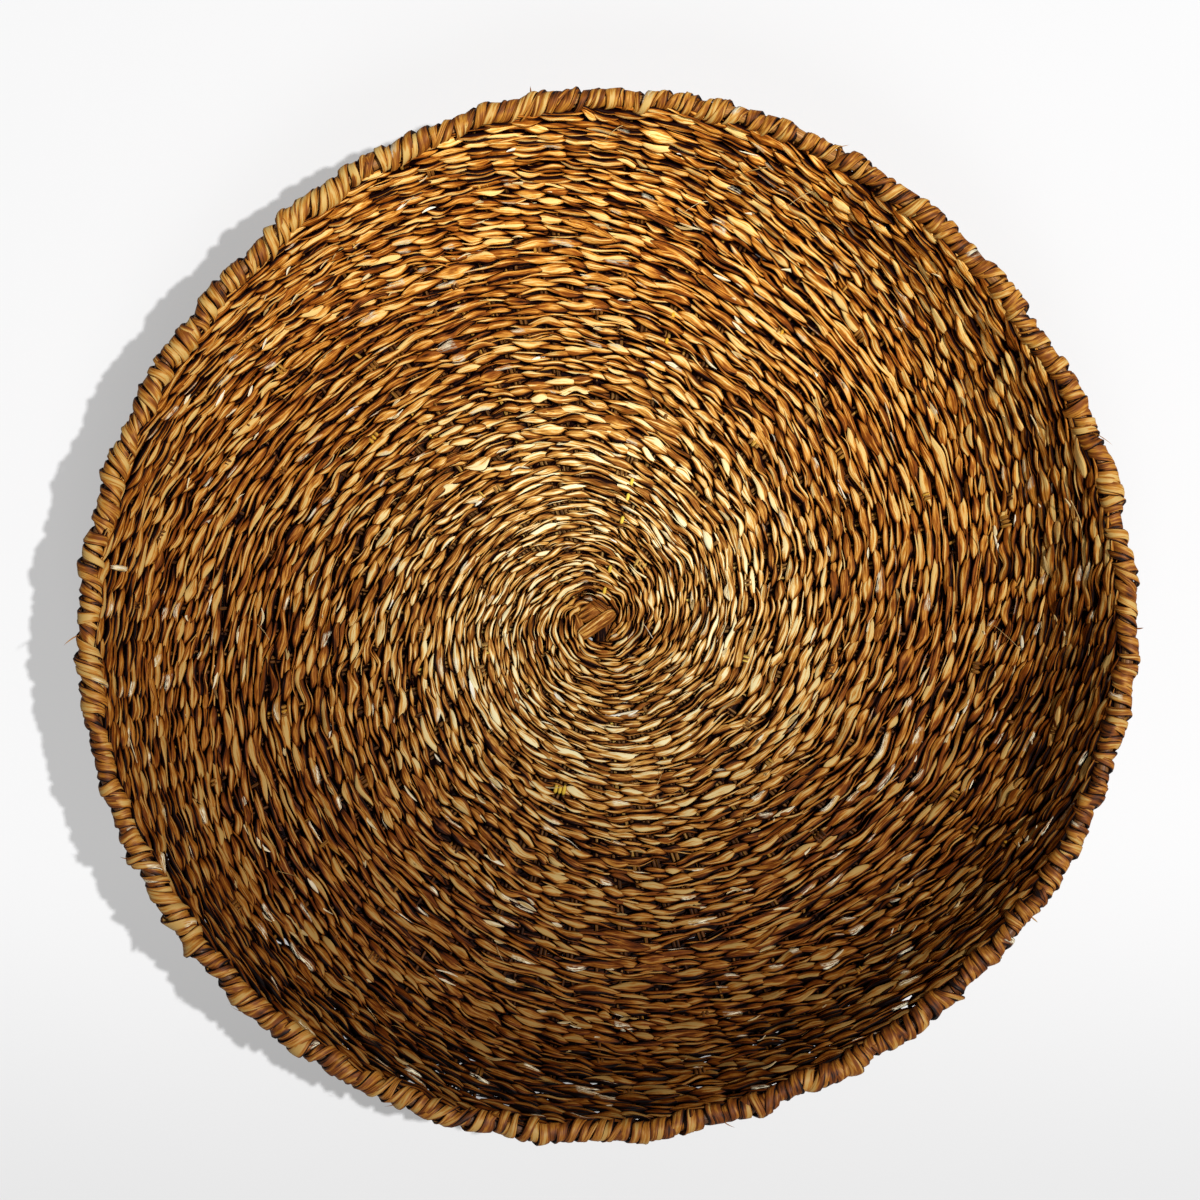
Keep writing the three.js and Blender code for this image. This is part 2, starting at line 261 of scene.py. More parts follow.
def fibre_finish(name, dark, middle, light, pale, specular, ridge, painted_light=1.0, rim_shade=1.0):
    """A dried plant fibre's material, with its four tones from dark to pale, its painted side light and its
    painted shade towards the rim.
    """
    material = bpy.data.materials.new(name)
    material.use_nodes = True
    node, link = material.node_tree.nodes.new, material.node_tree.links.new
    surface = material.node_tree.nodes["Principled BSDF"]
    surface.inputs["Specular IOR Level"].default_value = specular
    fibre = node("ShaderNodeUVMap")
    fibre.uv_map = "fibre"
    place = node("ShaderNodeTexCoord")
    grain = node("ShaderNodeGroup")
    grain.node_tree = bpy.data.node_groups.get("dried_fibre") or dried_fibre()
    grain.inputs["Side Light"].default_value = painted_light
    grain.inputs["Rim Shade"].default_value = rim_shade
    for socket, colour in (("Dark", dark), ("Middle", middle), ("Light", light), ("Pale", pale)):
        grain.inputs[socket].default_value = (*colour, 1)
    for socket, mark in (("Tone", "tone"), ("Torn", "torn")):
        held = node("ShaderNodeAttribute")
        held.attribute_name = mark
        link(held.outputs["Fac"], grain.inputs[socket])
    bump = node("ShaderNodeBump")
    bump.inputs["Strength"].default_value = ridge
    bump.inputs["Distance"].default_value = RIDGE_HEIGHT
    link(fibre.outputs["UV"], grain.inputs["Fibre"])
    link(place.outputs["Object"], grain.inputs["Place"])
    link(grain.outputs["Color"], surface.inputs["Base Color"])
    link(grain.outputs["Roughness"], surface.inputs["Roughness"])
    link(grain.outputs["Height"], bump.inputs["Height"])
    link(bump.outputs["Normal"], surface.inputs["Normal"])
    return material


stem_finish = fibre_finish(
    "dried_stem",
    dark=(0.05, 0.018, 0.004),
    middle=(0.26, 0.12, 0.03),
    light=(0.60, 0.38, 0.10),
    pale=(0.92, 0.66, 0.08),
    specular=0.14,
    ridge=0.3,
)
chance = np.random.default_rng(3)
round_stem = np.linspace(0, -2 * math.pi, STEM_SIDES + 1)
stems = []
for stem in range(STEM_COUNT):
    start = KNOT_EDGE if stem % BUNCH_SIZE in LONG_STEMS else BUNCH_EDGE - STEM_OVERLAP
    along = np.linspace(start, WALL_TOP + TIP_REACH, STEM_STEPS)
    angle = 0
    for edge, stakes_here in STAKE_ZONES:
        stake = stem * stakes_here // STEM_COUNT
        mates = [mate for mate in range(STEM_COUNT) if mate * stakes_here // STEM_COUNT == stake]
        beside = (mates.index(stem) - (len(mates) - 1) / 2) * STEM_SPACING
        target = 2 * math.pi * (stake + 0.5) / stakes_here + beside / np.maximum(along, BUNCH_EDGE)
        angle = angle + (target - angle) * ease(along, edge - SPLIT_REACH, edge)
    half = np.full(STEM_STEPS, STEM_WIDTH / 2) * chance.uniform(0.85, 1.15)
    half[[0, -1]] = 0
    across = half[:, None] * np.cos(round_stem)
    inward = half[:, None] * np.sin(round_stem) - STEM_DROP
    points = on_tray(along[:, None], angle[:, None] + across / along[:, None], inward)
    tone = chance.choice(STEM_TONES, p=STEM_TONE_SHARES)
    stems.append({"points": points, "size": STEM_FIBRE, "start": chance.uniform(0, 300, 2), "tone": tone})
stakes = lay_strands("stake_stems", stems, stem_finish)
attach(stakes, "root")
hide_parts(*[f"stake_{number:02d}" for number in range(1, 17)])

# The woven courses
# Twined rows: two flattened seagrass strands twist round each other and change sides between the stakes,
# so every stake is clasped by one strand over it and one under it and each row looks like a flat rope.
STEPS_PER_STAKE = 8
OVER_LIFT = 0.0019  # a strand's middle above the stems where it crosses over them
STRAND_THICK = 0.0019
# A strand's run, by its distance in stakes from where it crosses over one:
# how high it lies, how wide it is and how far it has crossed its row
RUN_MARKS = (0, 0.15, 0.5, 0.78, 0.86, 0.93, 1)
RUN_LIFT = (1, 0.97, 0.72, 0.25, -0.7, -1, -1)
RUN_WIDTH = (1, 0.93, 0.58, 0.12, 0.8, 1.1, 1.2)
RUN_ACROSS = (0, 0.19, 0.64, 1, 0.6, 0.25, 0)
SECTION_ACROSS = (1, 0.6, -0.6, -1, -0.84, -0.35, 0.35, 0.84, 1)
SECTION_RISE = (0, -1, -1, 0, 0.8, 1, 1, 0.8, 0)
FIRST_ROW = 0.0112
ROW_PITCHES = (
    (0.0, 0.0041),
    (0.055, 0.0041),
    (0.070, 0.0060),
    (0.095, 0.0065),
    (0.150, 0.0060),
    (0.200, 0.0062),
)
LAST_ROW_GAP = 0.002  # rows are added until one is as near as this to the binding
FLOOR_COURSES = 12
WALL_COURSES = 6
FIRST_COURSE = 0.0265
FLOOR_PITCH = 0.01108
WALL_PITCH = 0.0133
WALL_START = 0.1595
BLADE_CROSSINGS = 7  # crossings before one blade of seagrass gives way to the next
OPEN_SIDE = math.radians(262)  # where the top rows are slack enough for the floor to show between them
SLACK_CHANCE = 0.24
SLACK_LOSS = 0.5  # how much narrower a slack strand is, in spacings of the rows
ROW_WAVER = 0.07  # how unevenly a row and each strand of it run, in spacings of the rows
STRAND_WAVER = 0.04
ROW_SLIP = 0.18  # how far a row's, a strand's and a blade's crossings are off their stakes, in stakes
STRAND_SLIP = 0.08
BLADE_SLIP = 0.10
BROAD_SHARE = 0.71  # the broader of a strand's two blades, as a share of the strand
BLADES_APART = 0.45
LOWEST = 0.0002  # the lowest that a strand may lie
STRAND_FULLNESS = 0.94  # a strand's width on the floor, in spacings of the rows
WALL_FULLNESS = 0.08  # what is added to it on the wall
FULL_SPREAD = 0.10
STRAND_TWIST = 0.40  # how far a strand swings across its row in the middle, in spacings of the rows
FLOOR_UNTWIST = 0.11  # what is taken off it farther out on the floor
WALL_TWIST = 0.05  # and put back on the wall
TWIST_SPREAD = 0.09
HEIGHT_SPREAD = 0.00035
LEAN_SPREAD = 0.26
THICK_SPREAD = 0.14
BLADE_TONE = 0.66
BLADE_SPREAD = 0.12  # from blade to blade
CROSSING_SPREAD = 0.13  # from one crossing of a blade to the next
BRIGHT_CHANCE = 0.06
BRIGHT_LIFT = 0.25
DARKEST = 0.30
# painted shade: the narrower blade lies deeper
NARROW_SHADE = 0.15  # how much darker the narrower blade is
BACK_SHADE = 0.08  # how much darker a strand is on the tray's outside
# painted shade along a blade's edges, where it meets its neighbours
EDGE_SHADE = 2.0
# painted shade where a strand goes down and where another lies over it
DIVE_SHADE = 0.6  # where a strand goes down between its neighbours
COVERED_SHADE = 1.2  # where the next strand lies over it
# painted highlight along one edge of each blade
LIT_SIDE = 0.38  # how much lighter one edge of a blade is than its middle
TORN_CHANCE = 0.05
LEAF_COVER = 1.25  # the inner leaf's width, in spacings of the rows
LEAF_THICK = 0.0006
LEAF_DROP = 0.0012  # how far the inner leaf lies below the stems' middle
LEAF_SLACK = 1.2  # how much narrower it is where the strands are slack
# the inner leaf is painted near black as shade where it shows between the strands
LEAF_SHADE_TONE = -0.1
OUTSIDE_TONE = 0.40
OUTSIDE_DASH = 0.12  # how much lighter its back is at the stakes than between them

strand_finish = fibre_finish(
    "seagrass_strand",
    dark=(0.008, 0.0006, 0.0001),
    middle=(0.32, 0.100, 0.0125),
    light=(0.83, 0.450, 0.102),
    pale=(1.0, 0.89, 0.52),
    specular=0.07,
    ridge=0.6,
)
chance = np.random.default_rng(11)


def carried(values, place):
    """Values that are set at each stake, carried smoothly from one stake to the next right round the tray."""
    before = np.floor(place).astype(int)
    share = ease(place - before, 0, 1)
    return values[before % len(values)] * (1 - share) + values[(before + 1) % len(values)] * share


def by_blade(passed, middle, spread):
    """A value at each crossing that belongs to one blade for a few crossings and then to the next blade."""
    fresh = chance.random(passed) < 1 / BLADE_CROSSINGS
    holder = np.maximum.accumulate(np.where(fresh, np.arange(passed), 0))
    return chance.normal(middle, spread, passed)[holder]


def strand_section(width, thick, lean, crease):
    """Across and inward offsets round a strand: a flat leaf with steep edges and a crease along its top."""
    across = np.array(SECTION_ACROSS)
    side = np.array(SECTION_RISE)
    rise = thick[:, None] / 2 * side - (crease * thick)[:, None] * 0.4 * (side == 1)
    wide = width[:, None] / 2 * across
    turned = wide * np.cos(lean)[:, None] - rise * np.sin(lean)[:, None]
    raised = wide * np.sin(lean)[:, None] + rise * np.cos(lean)[:, None]
    return turned, raised, across, side


def blade_tone(passed, place, swing, crossing, across, side, narrow):
    """How light a blade is along and across its run, with painted shade and painted highlights, and where its
    skin is torn.
    """
    apart = np.abs(swing)[:, None]
    back = side < -0.1
    lit_side = np.sign(by_blade(passed, 0, 1))[crossing][:, None]
    tone = by_blade(passed, BLADE_TONE, BLADE_SPREAD) + chance.normal(0, CROSSING_SPREAD, passed)
    tone = np.maximum(tone + np.where(chance.random(passed) < BRIGHT_CHANCE, BRIGHT_LIFT, 0), DARKEST)
    # Painted shade on the narrower blade.
    tone = tone - NARROW_SHADE * narrow
    tone = np.where(back, carried(tone, place)[:, None] - BACK_SHADE, tone[crossing][:, None])
    # Painted shade along the edges and where the strand dives between its neighbours.
    dive = ease(np.where(back, 1 - apart, apart), 0.4, 0.8)
    tone = tone - EDGE_SHADE * np.abs(across) ** 8 - DIVE_SHADE * dive
    # Painted light and shade: one end of each crossing lighter than the other.
    tone = tone + (carried(chance.normal(0.12, 0.24, passed), place) * swing)[:, None]
    # Painted light and shade: one side of each blade lighter than the other.
    tone = tone + carried(chance.normal(0, 0.2, passed), place)[:, None] * across
    # Painted highlight along one edge.
    tone = tone + np.where(np.abs(across) < 1, LIT_SIDE * lit_side * across + 0.06, 0)
    # Painted shade where the next strand lies over it.
    covered = np.where(side > 0.1, ease(apart, 0.72, 0.86), 0) + np.where(back, ease(1 - apart, 0.3, 0.5), 0)
    torn = (chance.random(passed) < TORN_CHANCE)[crossing] * (np.abs(swing - 0.2) < 0.3)
    torn = torn[:, None] * (across * lit_side > 0.2)
    return tone - COVERED_SHADE * covered, torn


def inner_leaf(along, pitch, passed, waver_here, slack):
    """The flat leaf inside a row: painted near black as shade where it shows between the strands, brown on
    the tray's outside.
    """
    place = np.arange(2 * passed + 1) / 2
    angle = 2 * math.pi * (place + 0.5) / passed
    waver = carried(waver_here, place) + pitch * carried(row_drift, place / passed * len(row_drift))
    flat = np.zeros(len(place))
    cover = (LEAF_COVER - LEAF_SLACK * carried(slack, place + 0.5)) * pitch
    turned, raised, _, side = strand_section(cover, flat + LEAF_THICK, flat, flat)
    points = on_tray(along + waver[:, None] + turned, angle[:, None], raised - LEAF_DROP)
    points[-1] = points[0]
    outside = OUTSIDE_TONE + OUTSIDE_DASH * np.cos(2 * math.pi * place)[:, None]
    tone = np.where(side < -0.1, outside, LEAF_SHADE_TONE)
    return {"points": points, "size": (9.0, 2000 * math.pi * along), "start": (0.0, 0.0), "tone": tone}


def twined_row(along, pitch, passed, half_step):
    """The two strands of one row, each of two blades side by side, twined over and under that many stakes."""
    waver_here = chance.normal(0, ROW_WAVER * pitch, passed)
    slip_here = chance.normal(0, ROW_SLIP, passed)
    fullness = STRAND_FULLNESS + WALL_FULLNESS * float(ease(along, 0.16, 0.19))
    twist = STRAND_TWIST - FLOOR_UNTWIST * float(ease(along, 0.03, 0.08))
    twist = twist + WALL_TWIST * float(ease(along, 0.14, 0.18))
    near_side = ease(np.cos(2 * math.pi * (np.arange(passed) + 0.5) / passed - OPEN_SIDE), 0.5, 0.75)
    slack = chance.random(passed) < SLACK_CHANCE * near_side * float(ease(along, 0.198, 0.21))
    blades = []
    for half in range(2):
        hidden_start = (half + half_step + 1) % 2
        place = hidden_start + np.arange(STEPS_PER_STAKE * passed + 1) / STEPS_PER_STAKE
        angle = 2 * math.pi * (place + 0.5) / passed
        waver = carried(waver_here + chance.normal(0, STRAND_WAVER * pitch, passed), place)
        waver = waver + pitch * carried(row_drift, place / passed * len(row_drift))
        slip = slip_here + chance.normal(0, STRAND_SLIP, passed)
        full = by_blade(passed, fullness, FULL_SPREAD) + chance.normal(0, 0.08, passed)
        full = full + np.where(chance.random(passed) < 0.05, 0.4, 0)
        full = pitch * (carried(full, place) - SLACK_LOSS * carried(slack, place + 0.5))
        hand = np.sign(by_blade(passed, 0, 1))
        split = carried(np.clip(by_blade(passed, BROAD_SHARE, 0.10), 0.5, 0.95), place)
        for share, beside in ((split, 1 - split), (1 - split, -split)):
            shifted = place + carried(slip + chance.normal(0, BLADE_SLIP, passed), place)
            swing = (shifted + half + half_step + 1) % 2 - 1
            crossing = np.round(shifted - swing).astype(int) % passed
            apart = np.abs(swing)
            taper = np.interp(apart, RUN_MARKS, RUN_WIDTH)
            width = 1.04 * full * share * taper
            height = OVER_LIFT * np.interp(apart, RUN_MARKS, RUN_LIFT)
            height = height + carried(chance.normal(0, HEIGHT_SPREAD, passed), place)
            crossed = np.sign(swing) * np.interp(apart, RUN_MARKS, RUN_ACROSS)
            reach = crossed * pitch * carried(chance.normal(twist, TWIST_SPREAD, passed), place)
            lean = carried(chance.normal(0, LEAN_SPREAD, passed), place)
            thick = STRAND_THICK * carried(chance.normal(1, THICK_SPREAD, passed), place)
            crease = carried(chance.uniform(-0.3, 0.5, passed), place)
            turned, raised, across, side = strand_section(width, thick, lean, crease)
            path = along + waver + reach + BLADES_APART * hand[crossing] * beside * full
            points = on_tray(path[:, None] + turned, angle[:, None], height[:, None] + raised)
            points[..., 2] = np.maximum(points[..., 2], LOWEST)
            points[-1] = points[0]
            tone, torn = blade_tone(passed, place, swing, crossing, across, side, np.mean(beside) < 0)
            blades.append(
                {
                    "points": points,
                    "size": (2200 * pitch * float(np.mean(share)), 2000 * math.pi * along),
                    "start": chance.uniform(0, 900, 2),
                    "tone": tone,
                    "torn": torn,
                }
            )
    blades.append(inner_leaf(along, pitch, passed, waver_here, slack))
    return blades


def row_pitch(along):
    """The spacing of the rows, which are finer near the middle."""
    return float(np.interp(along, *zip(*ROW_PITCHES)))


def stakes_at(along):
    """How many stakes a row passes at a distance from the middle."""
    return [count for edge, count in STAKE_ZONES if edge <= along][-1]


row_drift = np.zeros(24)  # how far the rows wander together, as a share of their spacing
rows = [FIRST_ROW]
while rows[-1] < WALL_TOP - LAST_ROW_GAP:
    rows.append(rows[-1] + row_pitch(rows[-1]))
course_edges = [0.0]
course_edges.extend(FIRST_COURSE + course * FLOOR_PITCH for course in range(FLOOR_COURSES))
course_edges.extend(WALL_START + course * WALL_PITCH for course in range(WALL_COURSES))
course_edges.append(WALL_TOP + 0.01)
course_names = ["starting_weave"]
course_names.extend(f"floor_weave_{course:02d}" for course in range(1, FLOOR_COURSES + 1))
course_names.extend(f"wall_weave_{course:02d}" for course in range(1, WALL_COURSES + 1))
for course, name in enumerate(course_names):
    strands = []
    for number, along in enumerate(rows):
        if not course_edges[course] <= along < course_edges[course + 1]:
            continue
        passed = stakes_at(along)
        row_drift = 0.85 * row_drift + chance.normal(0, 0.07, len(row_drift))
        half_step = (number + (chance.random() < 0.2)) % 2
        strands.extend(twined_row(along, row_pitch(along), passed, half_step))
    band = lay_strands(name, strands, strand_finish)
    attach(band, "root")
    if course == 0:
        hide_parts("starting_ring_upper", "starting_ring_lower")
    else:
        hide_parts(name.replace("weave", "weaver"))

# The stake splices
# Where the stakes multiply, the ends of the added stems stick up through the weave in ones, twos and threes.
# Some are brown and some are still straw yellow.
SPLICE_COUNT = 90
SPLICE_LENGTH = 0.0048
SPLICE_LIFT = 0.0024
SPLICE_DIP = 0.0012
SPLICE_STEPS = 5
YELLOW_SPOKE = math.radians(76)
YELLOW_LIFT = 0.0027
YELLOW_TONE = 1.3
YELLOW_ENDS = (0.0137, 0.0237, 0.0463, 0.0569, 0.0639, 0.128, 0.140)

chance = np.random.default_rng(31)


def spread_over(reach, nearest):
    """A distance from the middle, drawn so that pieces lie evenly over the tray."""
    return reach * math.sqrt(chance.uniform(nearest, 1))


def stem_end(along, angle, inward, length, tone):
    """A short end of stem that lies across a row, in the line of the stakes, with its tips dipping in."""
    share = np.linspace(0, 1, SPLICE_STEPS)
    half = STEM_WIDTH / 2 * np.array([0, 1, 1, 1, 0])
    run = along + (share - 0.5) * length
    dip = SPLICE_DIP * (2 * share - 1) ** 2
    across = half[:, None] * np.cos(round_stem)
    rise = half[:, None] * np.sin(round_stem) + (inward - dip)[:, None]
    points = on_tray(run[:, None], angle + across / along, rise)
    return {"points": points, "size": (5.0, 1000 * length), "start": chance.uniform(0, 300, 2), "tone": tone}


splices = []
for along in YELLOW_ENDS:
    splices.append(stem_end(along, YELLOW_SPOKE, YELLOW_LIFT, SPLICE_LENGTH, YELLOW_TONE))
for splice in range(SPLICE_COUNT):
    along = spread_over(reach=0.225, nearest=0.02)
    stakes_here = stakes_at(along)
    middle = 2 * math.pi * (chance.integers(stakes_here) + 0.5) / stakes_here
    tone = chance.normal(0.45, 0.2)
    length = SPLICE_LENGTH * chance.uniform(0.8, 1.4)
    beside = chance.integers(1, 4)
    for end in range(beside):
        angle = middle + (end - (beside - 1) / 2) * STEM_SPACING / along
        splices.append(stem_end(along, angle, SPLICE_LIFT, length * chance.uniform(0.85, 1.15), tone))
splice_ends = lay_strands("stake_splices", splices, stem_finish)
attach(splice_ends, "root")

# The torn blades
# Seagrass frays as it is pulled tight: bleached slivers of its skin lift off the rows, and thin fibres stand
# up from them as whiskers.
SLIVER_COUNT = 260
WHISKER_COUNT = 16
SLIVER_STEPS = 8
SLIVER_THICK = 0.00035
# One bleached stem end, split in two, lies in the wall under the rim
PALE_END_ALONG = 0.230
PALE_END_ANGLE = math.radians(174.3)
PALE_END_LIFT = 0.0040
PALE_END_LENGTH = 0.013
PALE_END_TONE = 0.9
PALE_HALF_TURNS = (math.radians(-0.12), math.radians(0.12))

bleached_finish = fibre_finish(
    "bleached_seagrass",
    dark=(0.16, 0.08, 0.02),
    middle=(0.62, 0.44, 0.18),
    light=(0.92, 0.80, 0.52),
    pale=(1.0, 0.96, 0.84),
    specular=0.2,
    ridge=0.5,
    painted_light=0.5,
    rim_shade=0.25,
)
chance = np.random.default_rng(41)


def torn_blade(along, angle, length, slope, broad, low, high, tone, edge=0.0):
    """A thin blade lying on the rows at a slope to them, one end tucked in and the other end lifted."""
    share = np.linspace(0, 1, SLIVER_STEPS)
    run = (share - 0.5) * length
    bow = chance.normal(0, 0.08) * length * np.sin(math.pi * share)
    path = np.minimum(along + run * math.sin(slope) + bow, WALL_TOP)
    radius = np.hypot(*on_tray(along, 0.0, 0.0)[:2])
    turn = angle + run * math.cos(slope) / radius
    height = low + (high - low) * share**1.5
    width = broad * np.sin(math.pi * np.clip(share, 0.02, 0.98)) ** 0.7
    thick = np.full(SLIVER_STEPS, SLIVER_THICK)
    lean = np.full(SLIVER_STEPS, chance.normal(0, 0.3))
    turned, raised, across, _ = strand_section(width, thick, lean, np.zeros(SLIVER_STEPS))
    points = on_tray(path[:, None] + turned, turn[:, None], height[:, None] + raised)
    return {
        "points": points,
        "size": (max(4.0, 2200 * broad), 1000 * length),
        "start": chance.uniform(0, 300, 2),
        # Painted shade along the edges, as strong as edge.
        "tone": tone - edge * np.abs(across) ** 11,
    }


torn_blades = []
for half_turn in PALE_HALF_TURNS:
    pale_angle = PALE_END_ANGLE + half_turn
    torn_blades.append(stem_end(PALE_END_ALONG, pale_angle, PALE_END_LIFT, PALE_END_LENGTH, PALE_END_TONE))
for sliver in range(SLIVER_COUNT):
    torn_blades.append(
        torn_blade(
            along=spread_over(reach=0.228, nearest=0.01),
            angle=chance.uniform(0, 2 * math.pi),
            length=chance.uniform(0.004, 0.011),
            slope=chance.normal(0.18, 0.12),
            broad=chance.uniform(0.0006, 0.0022),
            low=0.0018,
            high=chance.uniform(0.0030, 0.0042),
            tone=chance.normal(0.6, 0.3),
        )
    )
for whisker in range(WHISKER_COUNT):
    torn_blades.append(
        torn_blade(
            along=spread_over(reach=0.230, nearest=0.01),
            angle=chance.uniform(0, 2 * math.pi),
            length=chance.uniform(0.010, 0.020),
            slope=chance.uniform(-1.2, 1.2),
            broad=0.0004,
            low=0.0016,
            high=chance.uniform(0.004, 0.009),
            tone=chance.normal(0.5, 0.25),
        )
    )
frayed = lay_strands("torn_blades", torn_blades, bleached_finish)
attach(frayed, "root")

# The broad leaves
# Here and there a strand ends in the broad base of a seagrass leaf, which lies flat over the rows with its
# tip tucked in under the next one. The broadest is at the far edge of the floor.
LEAF_COUNT = 34
# painted shade along a leaf's edges, where it meets the rows
LEAF_EDGE_SHADE = 1.8  # how much darker a leaf's edges are
leaves = [
    torn_blade(
        along=0.158,
        angle=math.radians(69),
        length=0.027,
        slope=0.16,
        broad=0.0085,
        low=0.0022,
        high=0.0030,
        tone=0.46,
        edge=LEAF_EDGE_SHADE,
    )
]
for leaf in range(LEAF_COUNT):
    leaves.append(
        torn_blade(
            along=spread_over(reach=0.225, nearest=0.05),
            angle=chance.uniform(0, 2 * math.pi),
            length=chance.uniform(0.016, 0.026),
            slope=chance.normal(0.18, 0.10),
            broad=chance.uniform(0.0040, 0.0066),
            low=0.0021,
            high=chance.uniform(0.0028, 0.0034),
            tone=chance.normal(0.52, 0.14),
            edge=LEAF_EDGE_SHADE,
        )
    )
broad_leaves = lay_strands("broad_leaves", leaves, strand_finish)
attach(broad_leaves, "root")

# The starting knot
# Flat strips of seagrass folded over one another in the middle, where the weaving starts, with one broad
# strip laid across the top. The first rows hold them down.
KNOT_SIDES = 10
KNOT_STEPS = 16
STRIP_THICK = 0.0014
chance = np.random.default_rng(5)


def flat_strip(start, end, broad, low, high, tone):
    """A flat strip from one point of the floor to another, arched a little, with its ends pinched."""
    share = np.linspace(0, 1, KNOT_STEPS)
    run = np.array(end) - np.array(start)
    side = np.array([-run[1], run[0]]) / np.linalg.norm(run)
    middle = np.array(start) + share[:, None] * run
    height = low + (high - low) * np.sin(math.pi * share) ** 0.6
    half = broad / 2 * np.clip(6 * np.minimum(share, 1 - share), 0, 1) ** 0.5
    round_strip = np.linspace(0, 2 * math.pi, KNOT_SIDES + 1)
    across = half[:, None] * np.cos(round_strip)
    rise = STRIP_THICK / 2 * np.sign(half)[:, None] * np.sin(round_strip)
    points = np.empty((KNOT_STEPS, KNOT_SIDES + 1, 3))
    points[..., :2] = middle[:, None] + across[..., None] * side
    points[..., 2] = height[:, None] + rise
    length = 1000 * np.linalg.norm(run)
    return {"points": points, "size": (14.0, length), "start": chance.uniform(0, 300, 2), "tone": tone}


# Each strip from one end to the other, its width, its height at the ends and in the middle, and its tone
knot_strips = [
    flat_strip((-0.013, 0.003), (0.012, -0.009), 0.0090, 0.0007, 0.0014, 0.0),
    flat_strip((0.004, -0.014), (0.003, 0.013), 0.0090, 0.0010, 0.0022, 0.05),
    flat_strip((-0.012, 0.010), (0.012, 0.004), 0.0064, 0.0016, 0.0030, 0.1),
    flat_strip((-0.0100, 0.004), (-0.0050, -0.009), 0.0040, 0.0022, 0.0038, 0.40),
    flat_strip((-0.0085, 0.0010), (0.0030, 0.0075), 0.0074, 0.0026, 0.0044, 0.36),
    flat_strip((-0.0030, 0.0095), (0.0050, 0.0040), 0.0040, 0.0030, 0.0050, 0.30),
    flat_strip((0.0045, -0.0105), (0.0105, 0.0010), 0.0036, 0.0020, 0.0040, 0.38),
    flat_strip((-0.0090, -0.0078), (0.0088, 0.0044), 0.0060, 0.0034, 0.0058, 0.50),
]
knot = lay_strands("starting_knot_strips", knot_strips, strand_finish)
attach(knot, "root")
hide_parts("starting_knot")

# The rim's hoop
# A ring of split cane that stiffens the tray's mouth. The stems' tips bear on it, and the binding is wound
# round both and hides it.
HOOP_SIDES = 12
HOOP_STEPS = 288
HOOP_WIDTH = 0.0060
HOOP_FIBRE = (30.0, 1360.0)  # the fibre pattern's run round the cane and along it
HOOP_TONE = 0.3
RIM_LUMPS = 0.0006

cane_finish = fibre_finish(
    "split_cane",
    dark=(0.18, 0.08, 0.02),
    middle=(0.36, 0.18, 0.05),
    light=(0.58, 0.36, 0.12),
    pale=(0.80, 0.62, 0.30),
    specular=0.5,
    ridge=0.2,
)


def on_rim(angle, turn, radius):
    """The point at an angle round the tray and at a turn and a radius round the rim's own section."""
    lumps = RIM_LUMPS * np.sin(23 * angle + 1.1) * np.sin(9 * angle)
    lumps = lumps + RIM_LUMPS * np.sin(41 * angle + 4 * np.cos(3 * angle))
    out = RIM_RADIUS * (1 + hand_shape(angle)) + lumps + radius * np.cos(turn)
    height = RIM_HEIGHT + 0.7 * lumps + radius * np.sin(turn)
    return np.stack(np.broadcast_arrays(out * np.cos(angle), out * np.sin(angle), height), axis=-1)


angle = np.linspace(0, 2 * math.pi, HOOP_STEPS + 1)[:, None]
turn = np.linspace(0, 2 * math.pi, HOOP_SIDES + 1)[None, :]
hoop_points = on_rim(angle, turn, HOOP_WIDTH / 2)
hoop_points[-1] = hoop_points[0]
hoop_strand = {"points": hoop_points, "size": HOOP_FIBRE, "start": (0.0, 0.0), "tone": HOOP_TONE}
hoop = lay_strands("rim_hoop_cane", [hoop_strand], cane_finish)
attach(hoop, "root")
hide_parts("rim_hoop")

# The rim's binding
# Bands of seagrass strands wound side by side round the hoop and the stems' tips, slanting across the rim.
# The strands differ in width and lie over one another, so the edge is lumpy.
BINDING_TURNS = 106
BAND_STRANDS = 4
STEPS_PER_TURN = 16
BINDING_MIDDLE = 0.0041
BINDING_WIDTH = 0.0044
BINDING_THICK = 0.0015
BINDING_LUMPS = 0.0005
BINDING_DRIFT = 0.0013
BINDING_TONE = 0.67
# painted shade along each strand's edges, where it meets the next
BINDING_EDGE_SHADE = 1.8  # how much darker a strand's edges are
BUNCH_LIFTS = 240
BUNCH_SLANTS = 60

binding_finish = fibre_finish(
    "seagrass_binding",
    dark=(0.010, 0.0012, 0.0002),
    middle=(0.36, 0.128, 0.0165),
    light=(0.84, 0.47, 0.095),
    pale=(1.0, 0.86, 0.46),
    specular=0.25,
    ridge=0.6,
    painted_light=0.38,
)
chance = np.random.default_rng(21)


